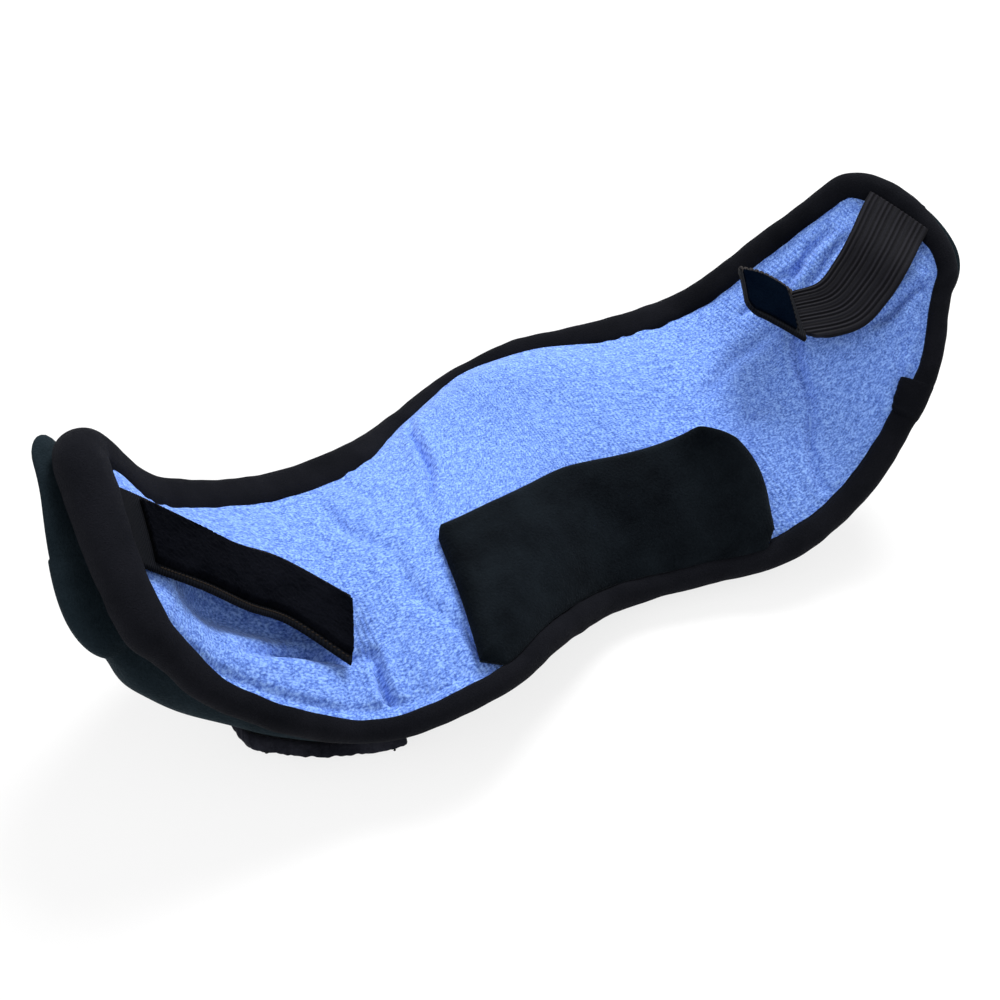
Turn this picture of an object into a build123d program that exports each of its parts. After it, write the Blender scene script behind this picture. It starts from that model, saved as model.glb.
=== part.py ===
# Padded sleep mask, lying open with its lining up. Millimetres.
# +X runs from the left end to the right end, +Y from the nose edge to the forehead edge, +Z up.
import os
from math import cos, radians, sin, sqrt

from build123d import *

os.makedirs("parts", exist_ok=True)

# Finished edge of the body, left end to right end. Both lists share their stations.
forehead_edge = [
    (-101.6, 22.4, 63),
    (-93.3, 24.6, 44.5),
    (-66.4, 32, 26.6),
    (-41.1, 35.9, 21.7),
    (-19, 46.3, 18.2),
    (1.7, 51.4, 22),
    (20.7, 46.1, 30.6),
    (42.6, 36, 36.6),
    (67.7, 31.3, 41.8),
    (86.8, 25.1, 56.7),
    (99.5, 17.2, 72.5),
]
nose_edge = [
    (-107.5, -27.2, 44.8),
    (-98.7, -36.5, 32.2),
    (-73.9, -46.7, 17.9),
    (-45.3, -51.4, 20.1),
    (-21.3, -43.6, 15),
    (2.7, -37.2, 7.4),
    (27.7, -41.4, 7.1),
    (52.7, -48.3, 11.2),
    (79.5, -45.1, 22.2),
    (99.7, -38.5, 43),
    (111.1, -26.9, 61.9),
]
# Depth of the stuffed outer side and rise of the lining at each of those stations.
pillow_depth = [15, 17, 18, 17.5, 15.5, 12.2, 14.8, 17, 18, 16, 12]
lining_rise = [1.0, 1.2, 1.6, 2.4, 6.0, 9.0, 7.0, 3.0, 1.6, 1.2, 1.0]

# Binding: a stuffed tape rolled over the edge of the layers.
roll_width = 8.0
roll_height = 8.6
right_reach = 8.6
left_corner = 5.5
left_bow = 0.2
slot_overlap = 0.7
slot_clearance = 0.5
overlap_thickness = 0.8
overlap_gap = 0.15
overlap_lip = 1.3
overlap_station = 8.78
overlap_span = 0.36

# Layers at the edge where the binding grips them, from the outer side to the lining.
shell_edge = 0.7
padding_edge = 0.5
blackout_thickness = 0.4
wadding_edge = 0.5
lining_thickness = 0.7
layer_gap = 0.2
middle_gap = 0.9
side_gap = 0.6

shell_thickness = 1.5
wadding_thickness = 3.0

# Nose flap, sewn in at the nose edge.
flap_start = 3.06
flap_end = 6.74
flap_skew = [0.34, 0.54]
flap_height = [37.0, 30.0]
flap_ply = 1.0
flap_foam_middle = 2.4
flap_foam_edge = 0.8
flap_gap = 0.6
flap_front_gap = 0.5
flap_rest_gap = 1.2
flap_corner_curl = 7.0
flap_curl_start = 0.6
flap_foam_inset = 2.0
flap_hem_gap = 1.5

# Straps. Each route starts at the seam in the binding; the second list points across the tape.
strap_width = 19.0
strap_thickness = 1.3
elastic_thickness = 1.6
loop_thickness = 1.6
loop_margin = 1.8
pile_start = 0.09
stitch_size = 0.5
layer_touch = 0.2
left_route = [
    (-101.5, -3.9, 57),
    (-93.3, -7.9, 50.1),
    (-85.6, -10.5, 41.9),
    (-77.3, -13.8, 35.6),
    (-67.2, -24.4, 27.5),
]
left_across = [
    (0.15, 0.95, 0.24),
    (0.18, 0.97, 0.12),
    (0.22, 0.97, 0.08),
    (0.3, 0.95, 0.06),
    (0.43, 0.9, 0.065),
]
right_route = [
    (104.7, -5.6, 74.2),
    (97.3, -9.5, 69.9),
    (91.6, -11.3, 64.1),
    (85, -11.4, 58.1),
    (78.9, -6.4, 52.9),
]
right_across = [
    (0.26, -0.94, -0.2),
    (0.17, -0.98, -0.12),
    (0.1, -0.98, -0.1),
    (-0.08, -0.98, -0.13),
    (-0.46, -0.87, -0.14),
]
tab_route = [
    (77.8, -5.3, 53.2),
    (74.8, -1.6, 55.2),
    (71.2, 2.8, 57),
    (67.4, 6.8, 57.9),
]
tab_across = [
    (-0.46, -0.87, -0.14),
    (-0.52, -0.84, -0.13),
    (-0.56, -0.82, -0.1),
    (-0.565, -0.825, -0.03),
]
tab_thickness = 1.4
hook_thickness = 0.8
hook_margin = 1.8
hook_start = 0.23
hook_end = 0.94
seam_start = 0.11
seam_end = 0.18
seam_count = 7
overlock_wrap = 0.5
overlock_reach = 1.5
overlock_count = 9
overlock_share = 0.05
overlock_start = 0.1
overlock_end = 0.95

# Fleece patch on the outer side, under the left eye. The angles run round the stuffed side.
patch_start = 1.15
patch_end = 2.62
patch_near = 22.0
patch_far = 88.0
patch_gap = 0.7
patch_thickness = 3.0
patch_stitch_count = 9
patch_stitch_inset = 0.09
thread_size = 0.5
thread_gap = 0.2

last_station = len(nose_edge) - 1
roll_half = roll_width / 2
edge_stack = (
    shell_edge + padding_edge + blackout_thickness + wadding_edge + lining_thickness + 4 * layer_gap
)


def along(points, k):
    """Point at station k of a hand-placed line, by a Catmull-Rom curve."""
    i = min(int(k), len(points) - 2)
    f = k - i
    p1 = Vector(*points[i])
    p2 = Vector(*points[i + 1])
    p0 = Vector(*points[i - 1]) if i > 0 else p1 * 2 - p2
    p3 = Vector(*points[i + 2]) if i + 2 < len(points) else p2 * 2 - p1
    a = (p2 - p0) * 0.5
    b = p0 - p1 * 2.5 + p2 * 2 - p3 * 0.5
    c = (p3 - p0) * 0.5 + (p1 - p2) * 1.5
    return p1 + a * f + b * (f * f) + c * (f * f * f)


def between(values, k):
    """Value at station k of a list with one value per station."""
    i = min(int(k), len(values) - 2)
    return values[i] + (values[i + 1] - values[i]) * (k - i)


def body_frame(k):
    """Plane across the body at station k: x to the forehead, y out of the lining."""
    nose = along(nose_edge, k)
    forehead = along(forehead_edge, k)
    behind = max(k - 0.5, 0)
    ahead = min(k + 0.5, last_station)
    run = (along(nose_edge, ahead) + along(forehead_edge, ahead)) - (
        along(nose_edge, behind) + along(forehead_edge, behind)
    )
    across = (forehead - nose).normalized()
    run = (run - across * run.dot(across)).normalized()
    return Plane(origin=(nose + forehead) * 0.5, x_dir=across, z_dir=run)


def roll_offset(k):
    """Distance from the middle of the body to the middle of the binding roll."""
    return (along(forehead_edge, k) - along(nose_edge, k)).length / 2 - roll_half


def end_section(k, shift, offset, fill):
    """Section past an end station, moved along the body by shift."""
    frame = body_frame(k)
    plane = Plane(origin=frame.origin + frame.z_dir * shift, x_dir=frame.x_dir, z_dir=frame.z_dir)
    return plane, offset, k, fill


def body_stations():
    """Sections of the body: frame, roll offset, station, how full the section is."""
    blunt_fade = {80: 0.01, 65: 0.01, 45: 0.01, 28: 0.02, 15: 0.06}
    round_fade = {15: 0.3, 28: 0.06, 45: 0.02, 65: 0.01, 80: 0.01}
    end_fill = {0: 0.3, 2 * last_station: 0.75}
    sections = []
    for angle, fill in blunt_fade.items():
        turn = radians(angle)
        offset = roll_offset(0) - left_corner * (1 - cos(turn))
        sections.append(end_section(0, -left_corner * sin(turn), offset, fill))
    for i in range(2 * last_station + 1):
        fill = end_fill.get(i, 1.0)
        sections.append((body_frame(i / 2), roll_offset(i / 2), i / 2, fill))
    for angle, fill in round_fade.items():
        turn = radians(angle)
        offset = roll_offset(last_station) * cos(turn)
        sections.append(end_section(last_station, right_reach * sin(turn), offset, fill))
    return sections


stations = body_stations()


def layer_sections(low, high, low_drop, high_rise, stuffed=False, low_inset=0, high_inset=0):
    """Sections of one layer at every station. low and high are its heights in the binding's grip.

    low_drop and high_rise are functions of the station: how far the middle of the layer's
    lower and upper face lies above its height in the grip. The insets narrow a stuffed face.
    """
    sections = []
    for plane, offset, k, fill in stations:
        edge = offset + slot_overlap
        mouth = max(offset - roll_half - slot_clearance, 0.4 * offset)
        low_mouth = mouth - low_inset * fill
        high_mouth = mouth - high_inset * fill
        drop = low_drop(k) * fill
        rise = high_rise(k) * fill
        with BuildSketch(plane) as section:
            with BuildLine():
                Line((-edge, low), (-low_mouth, low))
                if stuffed:
                    EllipticalCenterArc((0, low), low_mouth, -drop, 180, arc_size=180)
                else:
                    ThreePointArc((-low_mouth, low), (0, low + drop), (low_mouth, low))
                Line((low_mouth, low), (edge, low))
                Line((edge, low), (edge, high))
                Line((edge, high), (high_mouth, high))
                if stuffed and high_rise(k) < 0:
                    EllipticalCenterArc((0, high), high_mouth, -rise, 180, arc_size=180)
                else:
                    ThreePointArc((high_mouth, high), (0, high + rise), (-high_mouth, high))
                Line((-high_mouth, high), (-edge, high))
                Line((-edge, high), (-edge, low))
            make_face()
        sections.append(section.sketch.face())
    return sections


def padding_crown(k):
    """Rise of the padding in the middle of the body."""
    return 0.4 * between(lining_rise, k)


def blackout_crown(k):
    """Rise of the blackout layer over the padding."""
    return padding_crown(k) + middle_gap


def wadding_crown_low(k):
    """Rise of the lower face of the wadding."""
    return blackout_crown(k) + middle_gap


def wadding_crown(k):
    """Rise of the upper face of the wadding."""
    return between(lining_rise, k) + wadding_thickness - wadding_edge


def lining_crown(k):
    """Rise of the lining over the wadding."""
    return wadding_crown(k) + middle_gap


def shell_drop(k):
    """Depth of the outer face, below the grip."""
    return -between(pillow_depth, k)


def shell_inside_drop(k):
    """Depth of the inner face of the shell."""
    return shell_drop(k) + shell_thickness - shell_edge


def padding_drop(k):
    """Depth of the padding that fills the shell."""
    return shell_inside_drop(k) + middle_gap


shell_low = -edge_stack / 2
shell_high = shell_low + shell_edge
padding_low = shell_high + layer_gap
padding_high = padding_low + padding_edge
blackout_low = padding_high + layer_gap
blackout_high = blackout_low + blackout_thickness
wadding_low = blackout_high + layer_gap
wadding_high = wadding_low + wadding_edge
lining_low = wadding_high + layer_gap
lining_high = lining_low + lining_thickness

with BuildPart() as outer_shell:
    inset = shell_thickness
    loft(layer_sections(shell_low, shell_high, shell_drop, shell_inside_drop, True, 0, inset))
    split(bisect_by=Plane.XY, keep=Keep.TOP)
outer_shell.part.label = "outer_shell"
export_step(outer_shell.part, "parts/outer_shell.step")

with BuildPart() as outer_padding:
    inset = shell_thickness + side_gap
    loft(layer_sections(padding_low, padding_high, padding_drop, padding_crown, True, inset))
outer_padding.part.label = "outer_padding"
export_step(outer_padding.part, "parts/outer_padding.step")

with BuildPart() as blackout_layer:
    loft(layer_sections(blackout_low, blackout_high, blackout_crown, blackout_crown))
blackout_layer.part.label = "blackout_layer"
export_step(blackout_layer.part, "parts/blackout_layer.step")

with BuildPart() as inner_wadding:
    loft(layer_sections(wadding_low, wadding_high, wadding_crown_low, wadding_crown))
inner_wadding.part.label = "inner_wadding"
export_step(inner_wadding.part, "parts/inner_wadding.step")

with BuildPart() as lining:
    loft(layer_sections(lining_low, lining_high, lining_crown, lining_crown))
lining.part.label = "lining"
export_step(lining.part, "parts/lining.step")


# Edge binding: one tape, rolled over the edge and run once round the body.
def roll_line(points, normals, closed=False):
    """Path of the roll and the line beside it that keeps the section upright."""
    beside = [point + normal * roll_height for point, normal in zip(points, normals)]
    return Spline(*points, periodic=closed), Spline(*beside, periodic=closed)


def roll_plane(path, beside):
    """Section plane at the start of the roll: x away from the body, y out of the lining."""
    start = path @ 0
    upright = (beside @ 0 - start).normalized()
    forward = path % 0
    return Plane(origin=start, x_dir=upright.cross(forward), z_dir=forward)


def nose_side(plane, offset):
    return plane.from_local_coords(Vector(-offset, 0, 0))


def forehead_side(plane, offset):
    return plane.from_local_coords(Vector(offset, 0, 0))


left_end = body_frame(0)
right_end = body_frame(last_station)
left_apex = left_end.origin - left_end.z_dir * (left_corner + left_bow)
right_apex = right_end.origin + right_end.z_dir * right_reach
loop_points = [forehead_side(plane, offset) for plane, offset, k, fill in stations]
loop_points += [right_apex]
loop_points += [nose_side(plane, offset) for plane, offset, k, fill in reversed(stations)]
loop_points += [left_apex]
loop_normals = [plane.y_dir for plane, offset, k, fill in stations]
loop_normals += [right_end.y_dir] + loop_normals[::-1] + [left_end.y_dir]
roll_path, roll_beside = roll_line(loop_points, loop_normals, closed=True)
slot_height = edge_stack + 2 * slot_clearance
slot_bottom = slot_overlap + 2 * slot_clearance
slot_mouth = -roll_half - overlap_lip

with BuildPart() as edge_binding:
    with BuildSketch(roll_plane(roll_path, roll_beside)):
        Ellipse(roll_half, roll_height / 2)
        with Locations(((slot_mouth + slot_bottom) / 2, 0)):
            Rectangle(slot_bottom - slot_mouth, slot_height, mode=Mode.SUBTRACT)
    sweep(path=Wire([roll_path]), binormal=Wire([roll_beside]))
edge_binding.part.label = "edge_binding"
export_step(edge_binding.part, "parts/edge_binding.step")

# Folded end of the binding tape, lapped over its start near the right end of the nose edge.
lap_stations = [overlap_station + overlap_span * i / 4 for i in range(5)]
lap_points = [nose_side(body_frame(k), roll_offset(k)) for k in reversed(lap_stations)]
lap_path, lap_beside = roll_line(lap_points, [body_frame(k).y_dir for k in reversed(lap_stations)])
lap_inside = roll_half + overlap_gap
lap_high = roll_height / 2 + overlap_gap
with BuildPart() as binding_lap:
    with BuildSketch(roll_plane(lap_path, lap_beside)):
        Ellipse(lap_inside + overlap_thickness, lap_high + overlap_thickness)
        with Locations((-lap_inside, slot_height / 2 + overlap_lip / 2)):
            Rectangle(2 * overlap_lip, overlap_lip)
        Ellipse(lap_inside, lap_high, mode=Mode.SUBTRACT)
        with Locations(((slot_mouth - 2 * overlap_lip) / 2, -roll_height / 4)):
            Rectangle(-slot_mouth + 2 * overlap_lip, slot_height + roll_height / 2, mode=Mode.SUBTRACT)
    sweep(path=Wire([lap_path]), binormal=Wire([lap_beside]))
binding_lap.part.label = "binding_lap"
export_step(binding_lap.part, "parts/binding_lap.step")


# Fleece patch on the outer side.
def pillow_point(k, angle, out):
    """Point out millimetres off the outer face, angle degrees round from the nose side."""
    mouth = roll_offset(k) - roll_half - slot_clearance
    depth = -shell_drop(k)
    x, y = -mouth * cos(radians(angle)), -depth * sin(radians(angle))
    nx, ny = x / mouth**2, y / depth**2
    size = sqrt(nx**2 + ny**2)
    return Vector(x + out * nx / size, shell_low + y + out * ny / size)


with BuildPart() as outer_patch:
    for i in range(5):
        k = patch_start + (patch_end - patch_start) * i / 4
        turns = [patch_near + (patch_far - patch_near) * j / 4 for j in range(5)]
        with BuildSketch(body_frame(k)):
            with BuildLine():
                inside = Spline(*[pillow_point(k, turn, patch_gap) for turn in turns])
                outside = Spline(*[pillow_point(k, turn, patch_gap + patch_thickness) for turn in turns])
                Line(inside @ 0, outside @ 0)
                Line(inside @ 1, outside @ 1)
            make_face()
    loft()
    split(bisect_by=Plane.XY, keep=Keep.TOP)
outer_patch.part.label = "outer_patch"
export_step(outer_patch.part, "parts/outer_patch.step")


# Stitches that hold the two ends of the patch, on its outer face above the floor.
stitch_low = patch_gap + patch_thickness + thread_gap
stitch_high = stitch_low + thread_size
with BuildPart() as outer_patch_stitching:
    for k in (patch_start + patch_stitch_inset, patch_end - patch_stitch_inset):
        step = (patch_far - patch_near) / patch_stitch_count
        for i in range(patch_stitch_count):
            first = patch_near + step * (i + 0.2)
            second = patch_near + step * (i + 0.8)
            lowest = body_frame(k).from_local_coords(pillow_point(k, second, stitch_high))
            if lowest.Z > patch_gap:
                with BuildSketch(body_frame(k)):
                    with BuildLine():
                        Polyline(
                            pillow_point(k, first, stitch_low),
                            pillow_point(k, second, stitch_low),
                            pillow_point(k, second, stitch_high),
                            pillow_point(k, first, stitch_high),
                            close=True,
                        )
                    make_face()
                extrude(amount=thread_size / 2, both=True)
outer_patch_stitching.part.label = "outer_patch_stitching"
export_step(outer_patch_stitching.part, "parts/outer_patch_stitching.step")


# Nose flap: two plies of plush with a thin foam between, sewn in along the nose edge.
def lining_point(k, x):
    """Point on the lining at station k, x millimetres from the middle towards the forehead."""
    mouth = roll_offset(k) - roll_half - slot_clearance
    rise = lining_crown(k)
    radius = (mouth**2 + rise**2) / (2 * rise)
    height = lining_high + sqrt(radius**2 - x**2) - (radius - rise)
    return body_frame(k).from_local_coords(Vector(x, height, 0))


def flap_section(share):
    """Plane of the flap at a share of its length, its height there and the lining's bulge."""
    k_low = flap_start + (flap_end - flap_start) * share
    k_high = k_low + between(flap_skew, share)
    height = between(flap_height, share)
    x_low = -roll_offset(k_low) + roll_half + flap_hem_gap
    low = lining_point(k_low, x_low)
    high = lining_point(k_high, x_low + height)
    middle = lining_point((k_low + k_high) / 2, x_low + height / 2)
    curl = flap_corner_curl * max(0, (share - flap_curl_start) / (1 - flap_curl_start)) ** 2
    high += body_frame(k_high).y_dir * curl
    plane = Plane(origin=low, x_dir=high - low, z_dir=body_frame(k_low).z_dir)
    return plane, (high - low).length, plane.to_local_coords(middle).Y


def flap_layer(low, high, low_middle, high_middle, inset):
    """Sections of one ply of the flap, from its heights at the edge and in the middle."""
    sections = []
    for i in range(15):
        share = inset / flap_length + (1 - 2 * inset / flap_length) * i / 14
        plane, length, bulge = flap_section(share)
        near, far = inset, length - inset
        lift = 4 * bulge * near * far / length**2
        with BuildSketch(plane) as section:
            with BuildLine():
                ThreePointArc((near, low + lift), (length / 2, bulge + low_middle), (far, low + lift))
                Line((far, low + lift), (far, high + lift))
                ThreePointArc((far, high + lift), (length / 2, bulge + high_middle), (near, high + lift))
                Line((near, high + lift), (near, low + lift))
            make_face()
        sections.append(section.sketch.face())
    return sections


flap_length = (flap_section(1)[0].origin - flap_section(0)[0].origin).length
back_high = flap_rest_gap + flap_ply
foam_low = back_high + flap_gap
foam_high = foam_low + flap_foam_edge
foam_middle = foam_low + flap_foam_middle
front_low = foam_high + flap_front_gap
front_middle = foam_middle + flap_front_gap

with BuildPart() as nose_flap_back:
    loft(flap_layer(flap_rest_gap, back_high, flap_rest_gap, back_high, 0))
nose_flap_back.part.label = "nose_flap_back"
export_step(nose_flap_back.part, "parts/nose_flap_back.step")

with BuildPart() as nose_flap_foam:
    loft(flap_layer(foam_low, foam_high, foam_low, foam_middle, flap_foam_inset))
nose_flap_foam.part.label = "nose_flap_foam"
export_step(nose_flap_foam.part, "parts/nose_flap_foam.step")

with BuildPart() as nose_flap_front:
    loft(flap_layer(front_low, front_low + flap_ply, front_middle, front_middle + flap_ply, 0))
nose_flap_front.part.label = "nose_flap_front"
export_step(nose_flap_front.part, "parts/nose_flap_front.step")


# Straps: flat tapes along a route, with the width direction given at each point of it.
def tape_planes(route, widths, start=0.0, end=1.0, steps=12):
    """Section planes of a tape: x across it, y out of its upper face, z along it."""
    planes = []
    last = len(route) - 1
    for i in range(steps + 1):
        k = last * (start + (end - start) * i / steps)
        ahead = along(route, min(k + 0.1, last)) - along(route, max(k - 0.1, 0))
        across = along(widths, k).normalized()
        ahead = (ahead - across * ahead.dot(across)).normalized()
        planes.append(Plane(origin=along(route, k), x_dir=across, z_dir=ahead))
    return planes


def tape_sections(planes, left, right, low, high):
    """Rectangular sections between two distances across a tape and two heights off its middle."""
    sections = []
    for plane in planes:
        with BuildSketch(plane) as section:
            with Locations(((left + right) / 2, (low + high) / 2)):
                Rectangle(right - left, high - low)
        sections.append(section.sketch.face())
    return sections


strap_half = strap_width / 2
left_planes = tape_planes(left_route, left_across)
with BuildPart() as left_strap:
    loft(tape_sections(left_planes, -strap_half, strap_half, -strap_thickness / 2, strap_thickness / 2))
left_strap.part.label = "left_strap"
export_step(left_strap.part, "parts/left_strap.step")

# Loop pile woven on the upper face, with a bare selvedge on each side for the stitching.
pile_half = strap_half - loop_margin
pile_low = strap_thickness / 2 + layer_touch
with BuildPart() as left_loop_pile:
    planes = tape_planes(left_route, left_across, start=pile_start)
    loft(tape_sections(planes, -pile_half, pile_half, pile_low, pile_low + loop_thickness))
left_loop_pile.part.label = "left_loop_pile"
export_step(left_loop_pile.part, "parts/left_loop_pile.step")

with BuildPart() as left_strap_stitching:
    for side in (-1, 1):
        near = side * (pile_half + stitch_size)
        planes = tape_planes(left_route, left_across, start=pile_start, end=0.99)
        ends = sorted((near, near + side * stitch_size))
        loft(tape_sections(planes, ends[0], ends[1], pile_low, pile_low + stitch_size))
left_strap_stitching.part.label = "left_strap_stitching"
export_step(left_strap_stitching.part, "parts/left_strap_stitching.step")

elastic_half = elastic_thickness / 2
right_planes = tape_planes(right_route, right_across)
with BuildPart() as right_strap:
    loft(tape_sections(right_planes, -strap_half, strap_half, -elastic_half, elastic_half))
right_strap.part.label = "right_strap"
export_step(right_strap.part, "parts/right_strap.step")

# Hook tab at the end of the elastic, turned up at the fold.
tab_planes = tape_planes(tab_route, tab_across, steps=4)
tab_half = tab_thickness / 2
with BuildPart() as hook_tab:
    loft(tape_sections(tab_planes, -strap_half, strap_half, -tab_half, tab_half))
hook_tab.part.label = "hook_tab"
export_step(hook_tab.part, "parts/hook_tab.step")

hook_low = tab_half + layer_touch
hook_half = strap_half - hook_margin
with BuildPart() as hook_field:
    planes = tape_planes(tab_route, tab_across, start=hook_start, end=hook_end, steps=4)
    loft(tape_sections(planes, -hook_half, hook_half, hook_low, hook_low + hook_thickness))
hook_field.part.label = "hook_field"
export_step(hook_field.part, "parts/hook_field.step")

# Row of stitches across the tab where it joins the elastic.
seam_planes = tape_planes(tab_route, tab_across, start=seam_start, end=seam_end, steps=1)
seam_step = 2 * hook_half / seam_count
with BuildPart() as tab_seam:
    for i in range(seam_count):
        left = -hook_half + seam_step * (i + 0.15)
        right = -hook_half + seam_step * (i + 0.85)
        loft(tape_sections(seam_planes, left, right, hook_low, hook_low + stitch_size))
tab_seam.part.label = "tab_seam"
export_step(tab_seam.part, "parts/tab_seam.step")

# Overlock thread wrapped over the forehead edge of the tab.
wrap_outside = -strap_half - layer_touch
wrap_high = tab_half + layer_touch
with BuildPart() as tab_overlock:
    for i in range(overlock_count):
        middle = overlock_start + (overlock_end - overlock_start) * i / (overlock_count - 1)
        half = overlock_share / 2
        planes = tape_planes(tab_route, tab_across, start=middle - half, end=middle + half, steps=1)
        for low, high in ((wrap_high, wrap_high + overlock_wrap), (-wrap_high - overlock_wrap, -wrap_high)):
            loft(tape_sections(planes, wrap_outside - overlock_wrap, -strap_half + overlock_reach, low, high))
        loft(
            tape_sections(planes, wrap_outside - overlock_wrap, wrap_outside, -wrap_high, wrap_high)
        )
tab_overlock.part.label = "tab_overlock"
export_step(tab_overlock.part, "parts/tab_overlock.step")
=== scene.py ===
# Padded sleep mask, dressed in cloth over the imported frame. Metres.
import math

import bpy
import numpy as np
from mathutils import Matrix, Vector, noise


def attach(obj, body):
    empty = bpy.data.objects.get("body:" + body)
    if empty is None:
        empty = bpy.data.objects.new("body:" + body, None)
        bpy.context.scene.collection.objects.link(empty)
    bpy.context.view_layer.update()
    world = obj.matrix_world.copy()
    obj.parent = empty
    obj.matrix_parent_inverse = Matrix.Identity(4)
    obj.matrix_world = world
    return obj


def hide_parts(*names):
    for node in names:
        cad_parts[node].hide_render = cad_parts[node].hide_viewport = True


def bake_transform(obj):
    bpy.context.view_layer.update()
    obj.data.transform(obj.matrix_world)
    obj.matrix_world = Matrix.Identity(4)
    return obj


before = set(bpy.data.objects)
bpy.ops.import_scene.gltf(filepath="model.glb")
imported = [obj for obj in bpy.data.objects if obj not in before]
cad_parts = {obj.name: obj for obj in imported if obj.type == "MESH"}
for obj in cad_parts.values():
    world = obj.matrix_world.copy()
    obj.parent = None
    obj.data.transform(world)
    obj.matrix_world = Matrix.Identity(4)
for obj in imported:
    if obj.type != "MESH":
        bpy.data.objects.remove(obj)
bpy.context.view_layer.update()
print("frame loaded")

# the mask's two edges from left to right, in millimetres, and how full it is at each station
foreheadEdge = [
    (-105.0, 22.8, 65.0), (-93.3, 24.6, 44.5), (-66.4, 32, 26.6), (-41.1, 35.9, 21.7),
    (-19, 46.3, 18.2), (1.7, 51.4, 22), (20.7, 46.1, 30.6), (42.6, 36, 36.6),
    (67.7, 31.3, 41.8), (87.0, 25.7, 57.5), (103.2, 18.4, 75.2),
]
noseEdge = [
    (-107.5, -27.2, 44.8), (-98.7, -36.5, 32.2), (-73.9, -47.7, 17.4), (-45.3, -52.3, 19.6),
    (-21.3, -43.6, 15), (2.7, -37.2, 7.4), (27.7, -41.4, 7.1), (52.7, -48.3, 11.2),
    (79.5, -45.1, 22.2), (99.7, -38.5, 43), (110.3, -26.9, 61.9),
]
pillowDepth = [13.5, 17, 18, 17.5, 15.5, 12.2, 14.8, 17, 18, 16, 12]
liningRise = [1.0, 1.2, 1.6, 2.4, 6.0, 9.0, 7.0, 3.0, 1.6, 1.2, 1.0]
foreheadFullness = [2, 2, 2, 2.4, 4.5, 6, 5, 3.4, 2.4, 2, 2]
foreheadOverRoll = [0, 0, 0, 0.15, 0.75, 1.0, 0.85, 0.45, 0.1, 0, 0]
# the binding roll at each station: its size, and how far its inner side reaches over the lining
rollSizeForehead = [1.02, 0.96, 0.96, 1, 1, 1, 1, 1, 0.98, 0.92, 0.82]
rollSizeNose = [0.98, 0.84, 0.82, 0.9, 0.98, 1, 1, 1, 0.98, 0.85, 0.72]
rollLipForehead = [4.4, 5.2, 4.8, 4.8, 2.2, 0.4, 2.0, 3.4, 2.6, 1.4, 2.4]
rollLipNose = [-0.6, -1.2, -1.6, -1.4, -0.5, 0, 0, 0, -0.5, -0.5, 0]
bodyShape = {
    "rollWidth": 7.8, "rollHeight": 8.2, "mouthShare": 0.47, "leftCorner": 5.5, "noseCorner": 13.0, "leftBow": 0.3,
    "leftSwell": 0.25, "rightReach": 9.2, "rightTipLip": 1.5, "tipShare": 0.14, "spineEnd": 0.6, "tipPitch": 18.0,
    "liningTop": 1.75, "wadding": 3.4, "noseFullness": 2.2,
}
lastStation = len(noseEdge) - 1


def alongLine(points, k):
    # smooth line through a list of points, at stations k
    p = np.array(points, float)
    p = np.vstack([2 * p[0] - p[1], p, 2 * p[-1] - p[-2]])
    k = np.atleast_1d(np.asarray(k, float))
    i = np.clip(k.astype(int), 0, len(points) - 2)
    f = (k - i)[:, None]
    p0, p1, p2, p3 = p[i], p[i + 1], p[i + 2], p[i + 3]
    square = p0 - 2.5 * p1 + 2 * p2 - 0.5 * p3
    cube = (p3 - p0) * 0.5 + (p1 - p2) * 1.5
    return p1 + (p2 - p0) * 0.5 * f + square * f**2 + cube * f**3


def smoothValue(values, k):
    return alongLine([(v, 0, 0) for v in values], np.clip(k, 0, len(values) - 1))[:, 0]


def unit(v):
    return v / np.linalg.norm(v, axis=1, keepdims=True)


def bodyFrame(k):
    # middle, across, normal and run directions at station k, and half the width there
    nose, forehead = alongLine(noseEdge, k), alongLine(foreheadEdge, k)
    behind, ahead = np.maximum(k - 0.5, 0), np.minimum(k + 0.5, lastStation)
    run = (alongLine(noseEdge, ahead) + alongLine(foreheadEdge, ahead)
           - alongLine(noseEdge, behind) - alongLine(foreheadEdge, behind))
    across = unit(forehead - nose)
    run = unit(run - across * np.sum(run * across, 1, keepdims=True))
    return (nose + forehead) / 2, across, np.cross(run, across), run, np.linalg.norm(forehead - nose, axis=1) / 2


def tipCurve(share, left, offset, side):
    # round a tip, share 0..1 from its side to its middle: how far out, and how far from the middle
    reach, bow = bodyShape["leftCorner"], bodyShape["leftBow"]
    corner = np.where(side > 0, bodyShape["leftCorner"], bodyShape["noseCorner"])
    arc = (corner + reach) / 2 * math.pi / 2
    walked = share * (arc + offset - corner)
    turn = np.clip(walked / arc, 0, 1) * math.pi / 2
    flat = np.clip(walked - arc, 0, None)
    leftOffset = offset - corner * (1 - np.cos(turn)) - flat
    leftReach = reach * np.sin(turn) + bow * (1 - (leftOffset / (offset - corner)) ** 2) * (flat > 0)
    angle = share * math.pi / 2
    rightReach = bodyShape["rightReach"] * np.sin(angle)
    return np.where(left, leftReach, rightReach), np.where(left, leftOffset, offset * np.cos(angle))


def edgeLine(w, side):
    # middle of the binding roll at w -1..1, side +1 forehead or -1 nose
    tip = 1 - bodyShape["tipShare"]
    k = np.clip((w / tip + 1) * lastStation / 2, 0, lastStation)
    share = np.clip((np.abs(w) - tip) / (1 - tip), 0, 1)
    middle, across, normal, run, half = bodyFrame(k)
    reach, offset = tipCurve(share, w < 0, half - bodyShape["rollWidth"] / 2, side)
    reach = reach * np.sign(w)
    point = middle + across * (side * offset)[:, None] + run * reach[:, None]
    return point, normal, k + reach / bodyShape["tipPitch"], side * offset, share


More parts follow.
